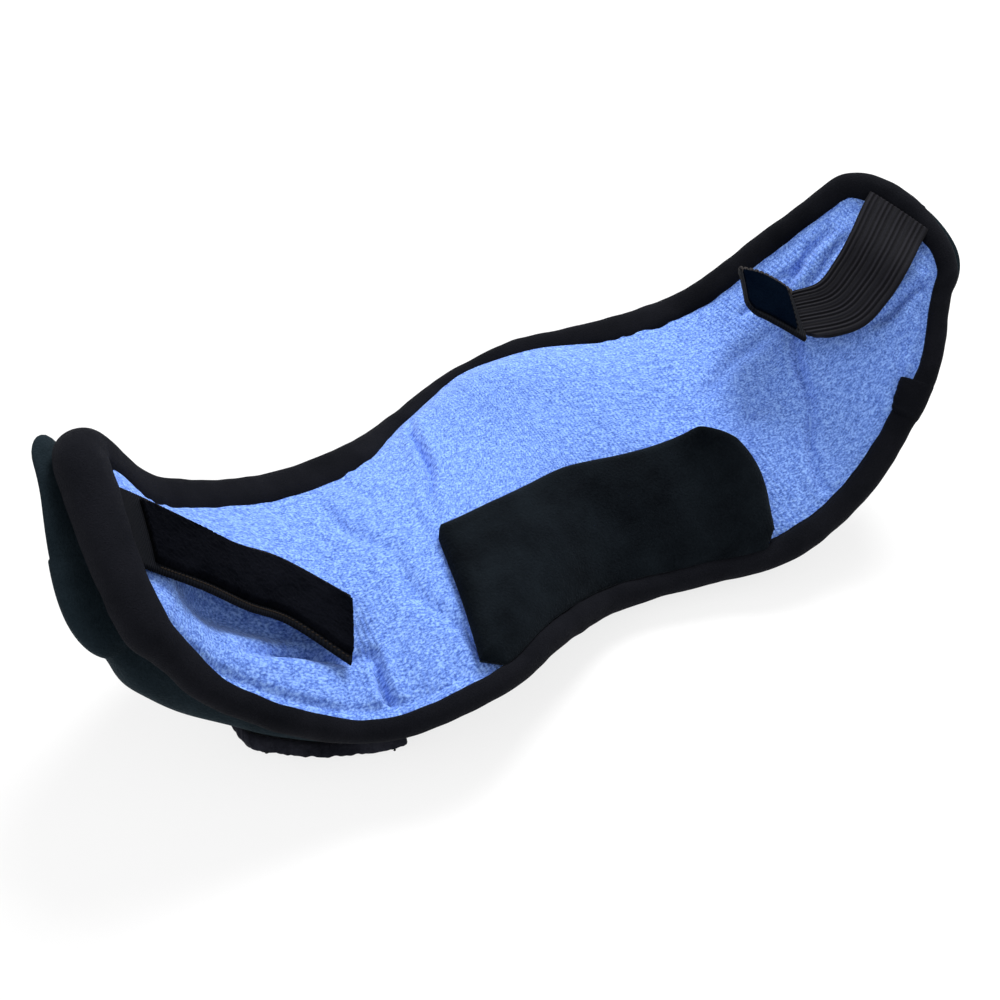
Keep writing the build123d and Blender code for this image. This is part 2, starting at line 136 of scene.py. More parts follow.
def bodyPoint(w, share):
    # a place on the flat sheet between the binding rolls: share -1 nose roll, 0 middle, 1 forehead roll
    w, share = np.asarray(w, float), np.asarray(share, float)
    side = np.where(share < 0, -1.0, 1.0)
    edge, edgeNormal, edgeStation, edgeX, tip = edgeLine(w, side)
    spine = bodyShape["spineEnd"]
    station = np.clip((w / (1 - bodyShape["tipShare"]) + 1) * lastStation / 2, spine, lastStation - spine)
    middle, across, normal, run, half = bodyFrame(station)
    s = np.abs(share)
    span = np.linalg.norm(edge - middle, axis=1)
    outward = (edge - middle) / span[:, None]
    normal = unit(normal * (1 - s)[:, None] + edgeNormal * s[:, None])
    flat = middle + (edge - middle) * s[:, None]
    return flat, normal, outward, span, station + (edgeStation - station) * s, edgeX * s, tip * s


def softNoise(points, size, seed):
    # smooth noise, about -1..1, for rows of points
    s = 1 / size
    return np.array([noise.noise(Vector((p[0] * s + seed, p[1] * s + 3.7 * seed, p[2] * s))) for p in points]) * 1.6


def dropSelection():
    if bpy.context.object and bpy.context.object.mode != "OBJECT":
        bpy.ops.object.mode_set(mode="OBJECT")
    bpy.ops.object.select_all(action="DESELECT")


def newGrid(name, columns, rows):
    # a flat grid primitive, its corners at 0..1, returned with its own coordinates
    dropSelection()
    bpy.ops.mesh.primitive_grid_add(x_subdivisions=columns, y_subdivisions=rows, size=1, location=(0.5, 0.5, 0))
    bpy.ops.object.transform_apply(location=True, rotation=True, scale=True)
    piece = bpy.context.object
    piece.name = name
    return piece, gridPlaces(piece)


def gridPlaces(piece):
    co = np.empty(len(piece.data.vertices) * 3)
    piece.data.vertices.foreach_get("co", co)
    return co.reshape(-1, 3)


def placeVertices(piece, millimetres):
    piece.data.vertices.foreach_set("co", (np.asarray(millimetres) / 1000).ravel())
    piece.data.update()


def setClothMap(piece, u, v):
    # UV map in metres along and across the cloth, one place for each vertex
    layer = piece.data.uv_layers.active or piece.data.uv_layers.new(name="clothMap")
    loops = np.empty(len(piece.data.loops), dtype=int)
    piece.data.loops.foreach_get("vertex_index", loops)
    layer.data.foreach_set("uv", np.column_stack([np.asarray(u)[loops], np.asarray(v)[loops]]).ravel())


def newBlock(name, columns, rows, openEnds=False):
    # a closed block from z = 0 to z = 1 over a grid; open ends are closed later by merging their two halves
    piece, places = newGrid(name, columns, rows)
    bpy.ops.object.mode_set(mode="EDIT")
    bpy.ops.mesh.select_mode(type="FACE")
    bpy.ops.mesh.select_all(action="SELECT")
    bpy.ops.mesh.extrude_region_move(TRANSFORM_OT_translate={"value": (0, 0, 1)})
    bpy.ops.mesh.select_all(action="DESELECT")
    bpy.ops.object.mode_set(mode="OBJECT")
    if openEnds:
        middles = np.empty(len(piece.data.polygons) * 3)
        piece.data.polygons.foreach_get("center", middles)
        acrossEnd = np.abs(middles.reshape(-1, 3)[:, 0] - 0.5) > 0.4999
        piece.data.polygons.foreach_set("select", acrossEnd)
        bpy.ops.object.mode_set(mode="EDIT")
        bpy.ops.mesh.delete(type="ONLY_FACE")
        bpy.ops.object.mode_set(mode="OBJECT")
    return piece, gridPlaces(piece)


def faceOutwards(piece):
    dropSelection()
    piece.select_set(True)
    bpy.context.view_layer.objects.active = piece
    bpy.ops.object.mode_set(mode="EDIT")
    bpy.ops.mesh.select_all(action="SELECT")
    bpy.ops.mesh.remove_doubles(threshold=0.000005)
    bpy.ops.mesh.normals_make_consistent(inside=False)
    bpy.ops.object.mode_set(mode="OBJECT")
    bpy.ops.object.shade_smooth()


# --- materials
def newMaterial(name):
    material = bpy.data.materials.new(name)
    material.use_nodes = True
    tree = material.node_tree
    return material, tree, tree.nodes["Principled BSDF"]


def addNode(tree, kind, **values):
    node = tree.nodes.new(kind)
    for key, value in values.items():
        if hasattr(node, key):
            setattr(node, key, value)
        else:
            node.inputs[key].default_value = value
    return node


def noiseTexture(tree, coordinates, scale, detail=3.0, roughness=0.55, stretch=None, turn=0.0):
    if stretch or turn:
        mapping = addNode(tree, "ShaderNodeMapping")
        mapping.inputs["Scale"].default_value = stretch or (1, 1, 1)
        mapping.inputs["Rotation"].default_value = (0, 0, turn)
        tree.links.new(coordinates, mapping.inputs["Vector"])
        coordinates = mapping.outputs["Vector"]
    texture = addNode(tree, "ShaderNodeTexNoise", Scale=scale, Detail=detail, Roughness=roughness)
    tree.links.new(coordinates, texture.inputs["Vector"])
    return texture.outputs["Fac"]


def ramp(tree, factor, stops):
    node = tree.nodes.new("ShaderNodeValToRGB")
    elements = node.color_ramp.elements
    while len(elements) < len(stops):
        elements.new(0.5)
    for element, (place, colour) in zip(elements, stops):
        element.position = place
        element.color = (*colour, 1)
    tree.links.new(factor, node.inputs["Fac"])
    return node.outputs["Color"]


def mathNode(tree, operation, a, b=0.5):
    node = tree.nodes.new("ShaderNodeMath")
    node.operation = operation
    for socket, value in zip(node.inputs, (a, b)):
        if isinstance(value, (int, float)):
            socket.default_value = value
        else:
            tree.links.new(value, socket)
    return node.outputs[0]


def mixTones(tree, first, second, firstShare, secondShare):
    return mathNode(tree, "ADD", mathNode(tree, "MULTIPLY", first, firstShare),
                    mathNode(tree, "MULTIPLY", second, secondShare))


def bumpFrom(tree, shader, height, distance, strength=1.0):
    bump = addNode(tree, "ShaderNodeBump", Distance=distance, Strength=strength)
    tree.links.new(height, bump.inputs["Height"])
    tree.links.new(bump.outputs["Normal"], shader.inputs["Normal"])


heatherJersey = {
    "light": (0.27, 0.45, 0.90), "middle": (0.125, 0.24, 0.68), "dark": (0.04, 0.095, 0.38), "loop": 0.0006,
}
bandsPerScale = 6.28


def makeJersey():
    look = heatherJersey
    material, tree, shader = newMaterial("heatherJersey")
    uv = tree.nodes.new("ShaderNodeUVMap").outputs["UV"]
    flecks = noiseTexture(tree, uv, 1900, 2.0, 0.6, stretch=(0.8, 1.15, 1), turn=0.5)
    clouds = noiseTexture(tree, uv, 620, 3.0, 0.7, stretch=(0.7, 1.2, 1), turn=0.5)
    mixed = mixTones(tree, flecks, clouds, 0.62, 0.38)
    colour = ramp(tree, mixed, [(0.36, look["dark"]), (0.49, look["middle"]), (0.60, look["light"])])
    tree.links.new(colour, shader.inputs["Base Color"])
    shader.inputs["Roughness"].default_value = 0.92
    shader.inputs["Specular IOR Level"].default_value = 0.15
    shader.inputs["Sheen Weight"].default_value = 0.25
    shader.inputs["Sheen Roughness"].default_value = 0.5
    shader.inputs["Sheen Tint"].default_value = (0.6, 0.75, 1, 1)
    wales = addNode(tree, "ShaderNodeTexWave", Scale=1 / look["loop"] / bandsPerScale, Distortion=1.2, Detail=2.0)
    wales.inputs["Detail Scale"].default_value = 2.0
    tree.links.new(uv, wales.inputs["Vector"])
    height = mathNode(tree, "ADD", mathNode(tree, "MULTIPLY", wales.outputs["Fac"], 0.5), flecks)
    bumpFrom(tree, shader, height, 0.00022, 0.9)
    return material


def makePlush(name, deep, pale, sheen, tint, nap=420, shine=0.03):
    # short pile: dark where it faces the eye, a soft bloom where it turns away
    material, tree, shader = newMaterial(name)
    place = tree.nodes.new("ShaderNodeTexCoord").outputs["Object"]
    brushed = noiseTexture(tree, place, 60, 3.0, 0.6)
    pile = noiseTexture(tree, place, nap * 4, 2.0, 0.7)
    factor = mixTones(tree, brushed, pile, 0.7, 0.3)
    tree.links.new(ramp(tree, factor, [(0.38, deep), (0.66, pale)]), shader.inputs["Base Color"])
    shader.inputs["Roughness"].default_value = 0.85
    shader.inputs["Specular IOR Level"].default_value = shine
    shader.inputs["Sheen Weight"].default_value = sheen
    shader.inputs["Sheen Roughness"].default_value = 0.35
    shader.inputs["Sheen Tint"].default_value = (*tint, 1)
    bumpFrom(tree, shader, pile, 0.0004, 0.8)
    return material


def makeWoven(name, colour, ribs, across=True, line=0.5, sheen=0.02):
    # ribbed tape: fine lines from its own map, ribs to the metre
    material, tree, shader = newMaterial(name)
    uv = tree.nodes.new("ShaderNodeUVMap").outputs["UV"]
    wave = addNode(tree, "ShaderNodeTexWave", Scale=ribs * 0.314, Distortion=0.6, Detail=1.0)
    wave.bands_direction = "Y" if across else "X"
    tree.links.new(uv, wave.inputs["Vector"])
    grain = noiseTexture(tree, uv, 1500, 2.0, 0.6)
    tone = mixTones(tree, wave.outputs["Fac"], grain, line, 1 - line)
    pale = tuple(c * 2.4 + 0.0015 for c in colour)
    tree.links.new(ramp(tree, tone, [(0.25, colour), (0.8, pale)]), shader.inputs["Base Color"])
    shader.inputs["Roughness"].default_value = 0.8
    shader.inputs["Specular IOR Level"].default_value = 0.06
    shader.inputs["Sheen Weight"].default_value = sheen
    bumpFrom(tree, shader, tone, 0.00035, 0.8)
    return material


jersey = makeJersey()
velvet = makePlush("shellVelvet", (0.0048, 0.0088, 0.0120), (0.0120, 0.0195, 0.0255), 0.06, (0.55, 0.75, 0.85))
flapPlush = makePlush("flapPlush", (0.0016, 0.0025, 0.0038), (0.0056, 0.0082, 0.0110), 0.05, (0.7, 0.85, 1))
bindingCloth = makePlush("bindingCloth", (0.0036, 0.0040, 0.0058), (0.0074, 0.0078, 0.0108), 0.02, (0.8, 0.85, 1),
                         nap=700)
fleece = makePlush("fleece", (0.0075, 0.0080, 0.0120), (0.0240, 0.0250, 0.0340), 0.05, (0.8, 0.85, 0.9), nap=250)
tapeCloth = makeWoven("tapeCloth", (0.0008, 0.0012, 0.0026), 1500)
elasticCloth = makeWoven("elasticCloth", (0.0042, 0.0042, 0.0058), 640, across=False, line=0.7)
loopPile = makePlush("loopPile", (0.0006, 0.0008, 0.0016), (0.0036, 0.0040, 0.0062), 0.01, (0.8, 0.85, 0.9),
                     nap=500, shine=0.01)
hookPile = makePlush("hookPile", (0.0004, 0.0012, 0.0036), (0.0014, 0.0032, 0.0072), 0.0, (0.8, 0.9, 1),
                     nap=400, shine=0.0)
brownThread = makeWoven("brownThread", (0.022, 0.016, 0.012), 3000)
blackThread = makeWoven("blackThread", (0.0040, 0.0040, 0.0050), 3000)
greyThread = makeWoven("greyThread", (0.0260, 0.0230, 0.0220), 3000)
fibre = makePlush("fibre", (0.62, 0.60, 0.56), (0.80, 0.79, 0.76), 0.1, (1, 1, 1))
blackoutCloth = makeWoven("blackoutCloth", (0.003, 0.003, 0.003), 1200)
print("materials made")


def finishPiece(piece, material, body, nodes):
    piece.data.materials.clear()
    piece.data.materials.append(material)
    if body:
        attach(piece, body)
    if nodes:
        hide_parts(*nodes)


# --- lining: jersey over wadding, domed over the nose, puckered where the binding gathers it
liningShape = {
    "columns": 400, "rows": 150, "thickness": 0.8, "grip": 0.9, "gripShare": 0.97, "gripEdge": 0.4, "pucker": 0.4,
    "puckerFade": 7.0, "puckerSize": 5.5, "unevenness": 0.45, "broad": 24, "small": 11, "stationPitch": 25.0,
    "creaseBend": 0.05, "ridge": 0.35,
    # creases from (station, across) to (station, across), with depth and half width
    "creases": [((2.05, -16.0), (0.5, -7), 4.2, 5.0), ((3.95, 34), (3.47, 10.3), 2.3, 1.3),
                ((3.47, 10.3), (3.3, 2), 1.0, 1.4),
                ((2.20, -21.5), (2.30, -40), 2.6, 0.95), ((2.17, -20.7), (1.2, -17), 2.3, 1.5),
                ((8.65, 7), (8.08, -10.1), 2.2, 1.4), ((8.08, -10.1), (7.55, -32), 1.6, 1.2),
                ((8.38, 11), (7.22, 7), 1.2, 2.2), ((9.95, -17.5), (9.15, -10), 1.7, 1.2),
                ((9.6, 14), (8.7, 17), 1.7, 1.2), ((9.1, 16), (8.3, 21), 1.2, 1.2), ((9.7, 8), (9.0, 11), 1.0, 1.1),
                ((2.4, 26), (2.75, 1), 0.9, 1.6), ((2.75, 1), (3.02, -34), 1.0, 1.5), ((3.25, 14), (3.1, -6), 0.7, 1.8),
                ((7.1, 20), (6.7, 4), 0.6, 3.0), ((7.9, -2), (7.2, -9), 0.8, 1.6), ((9.35, -18), (8.7, -26), 1.0, 1.4),
                ((2.0, 24), (2.25, 12), 0.5, 1.6), ((1.6, 22), (1.8, 12), 0.45, 1.5), ((2.8, 30), (3.0, 16), 0.6, 1.6)],
}


def liningBase(station, x, span, share, side):
    # height of the smooth lining over the flat sheet
    over = smoothValue(foreheadOverRoll, station) * (side > 0)
    mouth = 1 - bodyShape["rollWidth"] * bodyShape["mouthShare"] * (1 - over) / span
    inside = np.clip(share / mouth, 0, 1)
    fullness = np.where(side > 0, smoothValue(foreheadFullness, station), bodyShape["noseFullness"])
    rise = smoothValue(liningRise, station) + bodyShape["wadding"]
    return bodyShape["liningTop"] + rise * (1 - inside**fullness)


def liningPlaces(w, share, drop=0.0):
    look = liningShape
    flat, normal, outward, span, station, x, tip = bodyPoint(w, share)
    side, s = np.sign(share) + (share == 0), np.abs(share)
    height = liningBase(station, x, span, s, side)
    pitch = look["stationPitch"]
    edge = np.maximum(span * (1 - s) - bodyShape["rollWidth"] * look["gripEdge"], 0)
    gathers = np.column_stack([station * pitch, x * 0.16, side * 9])
    gather = 1 - 2.2 * np.abs(softNoise(gathers, look["puckerSize"], 1.3))
    detail = look["pucker"] * gather * np.exp(-edge / look["puckerFade"])
    ground = np.column_stack([station * pitch, x, station * 0])
    broad = softNoise(ground, look["broad"], 5.1) + 0.5 * softNoise(ground, look["small"], 8.4)
    detail += look["unevenness"] * broad * np.clip(edge / 6, 0, 1)
    for (k0, x0), (k1, x1), depth, width in look["creases"]:
        px, py = (station - k0) * pitch, x - x0
        dx, dy = (k1 - k0) * pitch, x1 - x0
        long = math.hypot(dx, dy)
        t = np.clip((px * dx + py * dy) / long**2, 0, 1)
        bend = look["creaseBend"] * long * np.sin(t * 5 + k0)
        distance = np.hypot(px - t * dx + dy / long * bend, py - t * dy - dx / long * bend)
        ends = 0.3 + 0.7 * np.sin(np.clip(t, 0.02, 0.98) * math.pi) ** 0.5
        detail -= depth * ends * np.exp(-(distance / width) ** 2)
        detail += look["ridge"] * depth * ends * np.exp(-((distance - 2.4 * width) / (1.5 * width)) ** 2)
    height = height + detail * np.clip(edge / 1.5, 0.1, 1) - drop
    reach = outward * (look["grip"] * (s > look["gripShare"]))[:, None]
    return flat + reach + normal * height[:, None], normal, station, x


def bodySheet(name, columns, rows, low, high):
    # a closed sheet as wide as the mask, between two sets of places
    piece, grid = newBlock(name, columns, rows, openEnds=True)
    w, share = grid[:, 0] * 2 - 1, grid[:, 1] * 2 - 1
    upper = grid[:, 2] > 0.5
    places = np.where(upper[:, None], high(w, share), low(w, share))
    station, x = bodyPoint(w, share)[4:6]
    placeVertices(piece, places)
    setClothMap(piece, station * liningShape["stationPitch"] / 1000, x / 1000)
    faceOutwards(piece)
    return piece


thick = liningShape["thickness"]
lining = bodySheet("liningCloth", liningShape["columns"], liningShape["rows"],
                   lambda w, share: liningPlaces(w, share, thick)[0], lambda w, share: liningPlaces(w, share)[0])
finishPiece(lining, jersey, "mask", ["lining"])
print("lining made")

# --- hidden layers: wadding, blackout sheet and loose filling
layerShape = {
    "columns": 150, "rows": 56, "waddingColumns": 260, "waddingRows": 90, "waddingTop": 1.3, "waddingLow": 1.9,
    "blackoutTop": 5.6, "blackoutLow": 6.0, "blackoutFlat": (0.096, 0.262), "blackoutArea": 0.0182,
    "fillTop": 6.4, "fillShrink": 2.0, "fillShare": 0.86,
}


def crownPlaces(w, share, below):
    # the smooth lining lowered, never under the grip of the binding
    flat, normal, outward, span, station, x, tip = bodyPoint(w, share)
    side = np.sign(share) + (share == 0)
    top = liningBase(station, x, span, np.abs(share), side)
    crown = (top - bodyShape["liningTop"]) / (smoothValue(liningRise, station) + bodyShape["wadding"])
    return flat + normal * (top - below * (0.45 + 0.55 * crown))[:, None]


wadding = bodySheet("waddingSheet", layerShape["waddingColumns"], layerShape["waddingRows"],
                    lambda w, share: liningPlaces(w, share, layerShape["waddingLow"])[0],
                    lambda w, share: liningPlaces(w, share, layerShape["waddingTop"])[0])
finishPiece(wadding, fibre, "mask", ["inner_wadding"])
blackout = bodySheet("blackoutSheet", layerShape["columns"], layerShape["rows"],
                     lambda w, share: crownPlaces(w, share, layerShape["blackoutLow"]),
                     lambda w, share: crownPlaces(w, share, layerShape["blackoutTop"]))
finishPiece(blackout, blackoutCloth, "mask", ["blackout_layer"])
print("wadding and blackout sheet made")

# --- outer shell: velvet stuffed with loose filling, pressed flat where it lies
shellShape = {
    "columns": 320, "rows": 150, "seamHeight": -2.6, "seamInset": 0.6, "leftOver": 9.5, "rightOver": 12.0,
    "wallPower": 0.6, "tipDepthLeft": 0.95, "tipDepthRight": 0.6, "dimple": 0.8, "gather": 0.7, "wall": 1.2,
    "overForehead": [12, 6, 4, 4, 4, 4, 4, 4, 4, 5, 9], "overNose": [3.5, 2.2, 2.4, 3.2, 4, 4, 4, 4, 4, 5, 10],
    "lobe": 0.6, "lobeOver": 5.0, "shrinkShare": 0.22,
}


def pillowPlaces(w, share, shrink=0.0):
    # the stuffed outer side: share -1..1 from the nose seam round the outside to the forehead seam
    shape = shellShape
    edge, normal, outward, span, station, x, tip = bodyPoint(w, share)
    turn = np.clip(share, -1, 1) * math.pi / 2
    rim, rimNormal, rimOut, rimSpan, rimStation, rimX, rimTip = bodyPoint(w, np.sign(share) + (share == 0))
    middle = rim - rimOut * rimSpan[:, None]
    mouth = rimSpan - bodyShape["rollWidth"] / 2 - shape["seamInset"] - shrink
    endOver = np.where(np.asarray(w) < 0, shape["leftOver"], shape["rightOver"])
    over = np.where(share > 0, smoothValue(shape["overForehead"], rimStation),
                    smoothValue(shape["overNose"], rimStation))
    over = over + (endOver - over) * np.sin(np.clip(rimTip * 1.6, 0, 1) * math.pi / 2) ** 2
    tipDepth = np.where(np.asarray(w) < 0, shape["tipDepthLeft"], shape["tipDepthRight"])
    depth = smoothValue(pillowDepth, rimStation) * (1 + (tipDepth - 1) * rimTip) - shrink
    shrunk = 1 - shape["shrinkShare"] * shrink
    over = over * shrunk
    toForehead = np.clip((rimX + 8) / 26, 0, 1)
    toForehead = toForehead**2 * (3 - 2 * toForehead)
    over = over + shape["lobeOver"] * toForehead * np.exp(-((rimStation + 0.1) / 0.5) ** 2) * shrunk
    out = np.sin(np.abs(turn)) * mouth + np.sin(np.abs(turn) * 2) * over
    lobe = shape["lobe"] * np.exp(-((rimStation - 0.1) / 0.75) ** 2) * toForehead
    down = shape["seamHeight"] - np.abs(np.cos(turn)) ** shape["wallPower"] * depth * (1 - lobe)
    return middle + rimOut * out[:, None] + normal * down[:, None], normal, rimOut, station, x, turn


def pressOnFloor(places, low, blend=0.9):
    # the cloth gives way where it meets the floor
    z = places[:, 2]
    places[:, 2] = np.where(z < low + blend, low + blend * np.exp(np.clip((z - low - blend) / blend, -30, 0)), z)
    return places


def stuffedPlaces(w, share, shrink=0.0):
    places, normal, outward, station, x, turn = pillowPlaces(w, share, shrink)
    look = shellShape
    out = -normal * np.abs(np.cos(turn))[:, None] + outward * np.abs(np.sin(turn))[:, None]
    seam = np.cos(turn) ** 0.5
    ground = np.column_stack([station * 25, np.sign(share) * 20 + np.sin(turn) * 30, station * 0])
    gathers = softNoise(np.column_stack([station * 25, np.sign(share) * 20 + x * 0.12, station * 0]), 6.5, 2.2)
    detail = look["gather"] * gathers * np.exp(-np.abs(np.cos(turn)) * 3.5)
    detail += look["dimple"] * softNoise(ground, 22, 4.4) * seam + 0.3 * softNoise(ground, 8, 6.1) * seam
    return places + out * (detail * np.clip(np.cos(turn) * 4, 0, 1))[:, None]


def shellWall(w, share, shrink):
    return pressOnFloor(stuffedPlaces(w, share, shrink), shrink)


shell = bodySheet("shellVelvet", shellShape["columns"], shellShape["rows"],
                  lambda w, share: shellWall(w, share, shellShape["wall"]), lambda w, share: shellWall(w, share, 0.0))
finishPiece(shell, velvet, "mask", ["outer_shell"])
filling = bodySheet("fillingPad", layerShape["columns"], layerShape["rows"],
                    lambda w, share: shellWall(w, share * layerShape["fillShare"], layerShape["fillShrink"]),
                    lambda w, share: crownPlaces(w, share * layerShape["fillShare"], layerShape["fillTop"]))
finishPiece(filling, fibre, "mask", ["outer_padding"])
print("outer shell and filling made")

# --- edge binding: one tape rolled over the edge all round
bindingShape = {
    "around": 1000, "section": 30, "swell": 0.28, "pucker": 0.16, "groove": 0.45, "foldAngle": 2.45, "foldWidth": 0.2,
    "smoothing": 300, "mapWidth": 0.026, "lapStart": 8.62, "lapEnd": 8.96, "lapGrid": 60, "lapWall": 0.45,
    "lapLip": 3.2, "lapTail": 8.0, "tailLip": 2.4,
}


def rollPlaces(turn):
    # middle of the roll at turn 0..1 round the edge, with its upright direction and size
    turn = np.mod(turn, 1)
    w = np.where(turn < 0.5, turn * 4 - 1, 3 - turn * 4)
    side = np.where(turn < 0.5, 1.0, -1.0)
    point, normal, station, x, tip = edgeLine(w, side)
    size = np.where(side > 0, smoothValue(rollSizeForehead, station), smoothValue(rollSizeNose, station))
    size = size + bodyShape["leftSwell"] * (w < 0) * np.sin(np.clip(tip * 2, 0, 1) * math.pi / 2)
    lip = np.where(side > 0, smoothValue(rollLipForehead, station), smoothValue(rollLipNose, station)) * (1 - tip)
    lip = lip + bodyShape["rightTipLip"] * tip * (w > 0)
    return point, normal, station, side, size, lip


loopTurns = np.linspace(0, 1, 4001)[:-1]
loopMiddle, loopNormal, loopStation, loopSide, loopSize, loopLip = rollPlaces(loopTurns)
for sweep in range(bindingShape["smoothing"]):
    loopMiddle = (np.roll(loopMiddle, 1, 0) + 2 * loopMiddle + np.roll(loopMiddle, -1, 0)) / 4
    loopNormal = unit(np.roll(loopNormal, 1, 0) + 2 * loopNormal + np.roll(loopNormal, -1, 0))
for sweep in range(bindingShape["smoothing"]):
    loopSize = (np.roll(loopSize, 1) + 2 * loopSize + np.roll(loopSize, -1)) / 4
    loopLip = (np.roll(loopLip, 1) + 2 * loopLip + np.roll(loopLip, -1)) / 4
loopStep = np.linalg.norm(np.roll(loopMiddle, -1, 0) - loopMiddle, axis=1)
loopLength = np.concatenate([[0], np.cumsum(loopStep)])
loopTotal = loopLength[-1]


def onLoop(distance, values):
    return np.interp(np.mod(distance, loopTotal), loopLength, np.append(values, values[0]))


def loopFrame(distance):
    # point on the binding's line at a distance along it, upright and outward directions, and roll size
    def pick(rows):
        return np.column_stack([onLoop(distance, rows[:, i]) for i in range(3)])
    middle, normal = pick(loopMiddle), unit(pick(loopNormal))
    ahead = pick(np.roll(loopMiddle, -6, 0)) - pick(np.roll(loopMiddle, 6, 0))
    ahead = unit(ahead - normal * np.sum(ahead * normal, 1, keepdims=True))
    return middle, normal, np.cross(normal, ahead), onLoop(distance, loopSize)


def loopDistance(station, side):
    # distance along the binding at a station on one side
    fits = np.where(loopSide == side, np.abs(loopStation - station), 99)
    return loopLength[int(np.argmin(fits))]


def rollSurface(distance, angle, extra=0.0, lip=0.0):
    # skin of the roll: angle 0 points away from the mask, a quarter turn is upright
    look = bindingShape
    middle, normal, outward, size = loopFrame(distance)
    ring = np.column_stack([distance, np.cos(angle) * 4, np.sin(angle) * 4])
    fade = np.clip(np.minimum(distance, loopTotal - distance) / 12, 0, 1)
    detail = (look["swell"] * softNoise(ring, 16, 2.7) + look["pucker"] * softNoise(ring, 5, 7.9)) * fade
    fold, wide = look["foldAngle"], look["foldWidth"]
    groove = (np.exp(-(np.angle(np.exp(1j * (angle - fold))) / wide) ** 2)
              + np.exp(-(np.angle(np.exp(1j * (angle + fold))) / wide) ** 2))
    detail = detail - look["groove"] * groove
    cosA, sinA = np.cos(angle), np.sin(angle)
    x = cosA * (bodyShape["rollWidth"] / 2 * size + detail + extra)
    y = sinA * (bodyShape["rollHeight"] / 2 * size + detail + extra)
    inner = np.clip(-cosA, 0, 1) ** 0.6 * np.clip(sinA + 0.35, 0, 1)
    x = x - lip * inner - onLoop(distance, loopLip) * np.clip(-cosA, 0, 1) ** 0.5
    return middle + outward * x[:, None] + normal * y[:, None]


lapNear, lapFar = loopDistance(bindingShape["lapStart"], -1), loopDistance(bindingShape["lapEnd"], -1)
tailNear = loopDistance(bindingShape["lapTail"], -1)


def makeBinding():
    look = bindingShape
    piece, grid = newGrid("bindingRoll", look["around"], look["section"])
    distance, angle = grid[:, 0] * loopTotal, grid[:, 1] * 2 * math.pi
    tail = np.clip((tailNear - distance) / (tailNear - lapNear), 0, 1) * (distance > lapNear - 0.5)
    placeVertices(piece, rollSurface(distance, angle, lip=look["tailLip"] * tail))
    setClothMap(piece, distance / 1000, grid[:, 1] * look["mapWidth"])
    faceOutwards(piece)
    finishPiece(piece, bindingCloth, "mask", ["edge_binding"])


def makeLap():
    # the folded end of the tape, one ply thicker, its inner edge lying over the lining
    look = bindingShape
    piece, grid = newBlock("bindingLap", look["lapGrid"], look["lapGrid"])
    share = grid[:, 0]
    folded = np.clip(np.minimum(share, 1 - share) / 0.07, 0, 1) ** 0.5
    wander = 0.5 * softNoise(np.column_stack([grid[:, 1] * 14, share * 0, share * 0]), 3.0, 3.3)
    distance = lapFar + (lapNear - lapFar) * share + wander * (share > 0.5)
    angle = math.radians(-100) + grid[:, 1] * math.radians(290)
    hemRidge = 0.2 * np.exp(-((share - 0.9) / 0.06) ** 2) * grid[:, 2]
    outside = 0.05 + look["lapWall"] * grid[:, 2] * (0.4 + 0.6 * folded) + hemRidge
    outside = outside * (0.25 + 0.75 * np.clip(0.4 - np.cos(angle), 0, 1))
    ragged = 0.35 * softNoise(np.column_stack([share * 12, grid[:, 1] * 0, grid[:, 1] * 0]), 1.6, 9.1)
    lip = look["lapLip"] + (look["tailLip"] - look["lapLip"]) * share + ragged
    placeVertices(piece, rollSurface(distance, angle, outside, lip))
    setClothMap(piece, distance / 1000, grid[:, 1] * look["mapWidth"])
    faceOutwards(piece)
    finishPiece(piece, bindingCloth, "mask", ["binding_lap"])


makeBinding()
makeLap()
print("binding made, %.0f mm round" % loopTotal)

# --- nose flap: plush front, thin foam, jersey back, sewn in under the nose edge
flapShape = {
    "start": 2.98, "end": 6.9, "skew": (0.24, 0.5), "height": [34.0, 28.5, 26.8, 28.3, 30.5, 32], "hemGap": 1.0,
    "restGap": 1.2, "endRound": 0.15, "endRoundFrom": 0.25, "endRoundPower": 2.2, "corner": 3.0, "backPly": 0.8,
    "foam": 1.9, "frontPly": 1.1, "rim": 3.4, "dome": 0.9, "curl": 12.5, "curlStart": 0.68, "curlFull": 0.9,
    "hemOver": 4.6, "hemRise": 2.4, "hinge": 4.9, "columns": 190, "rows": 90, "wave": 0.7, "length": 92.0,
}


def flapSurface(s, t):
    # the lining under the flap at share s along its hem and t from hem to free edge
    look = flapShape
    kLow = look["start"] + (look["end"] - look["start"]) * s
    station = kLow + (look["skew"][0] + (look["skew"][1] - look["skew"][0]) * s) * np.clip(t, 0, 1.2)
    half = bodyFrame(kLow)[4]
    tall = smoothValue(look["height"], s * 5)
    x = -half + bodyShape["rollWidth"] + look["hemGap"] + tall * np.clip(t, 0, 1.2)
    middle, across, normal, run, half = bodyFrame(station)
    span = half - bodyShape["rollWidth"] / 2
    side = np.sign(x) + (x == 0)
    height = liningBase(station, x, span, np.abs(x) / span, side)
    past = look["curlStart"]
    curl = look["curl"] * np.clip((s - past) / (look["curlFull"] - past), 0, 1.15) ** 1.8 * np.clip(t, 0, 1) ** 2.4
    ground = np.column_stack([s * look["length"], t * look["height"][0], s * 0])
    wave = look["wave"] * softNoise(ground, 26, 3.9) * np.clip(t * 3, 0, 1)
    hem = np.minimum(t, 0) * tall
    return middle + across * (x + hem)[:, None], normal, height + curl + wave, tall


def endRounding(t):
    start = flapShape["endRoundFrom"]
    return np.clip((t - start) / (1 - start), 0, 1) ** flapShape["endRoundPower"]


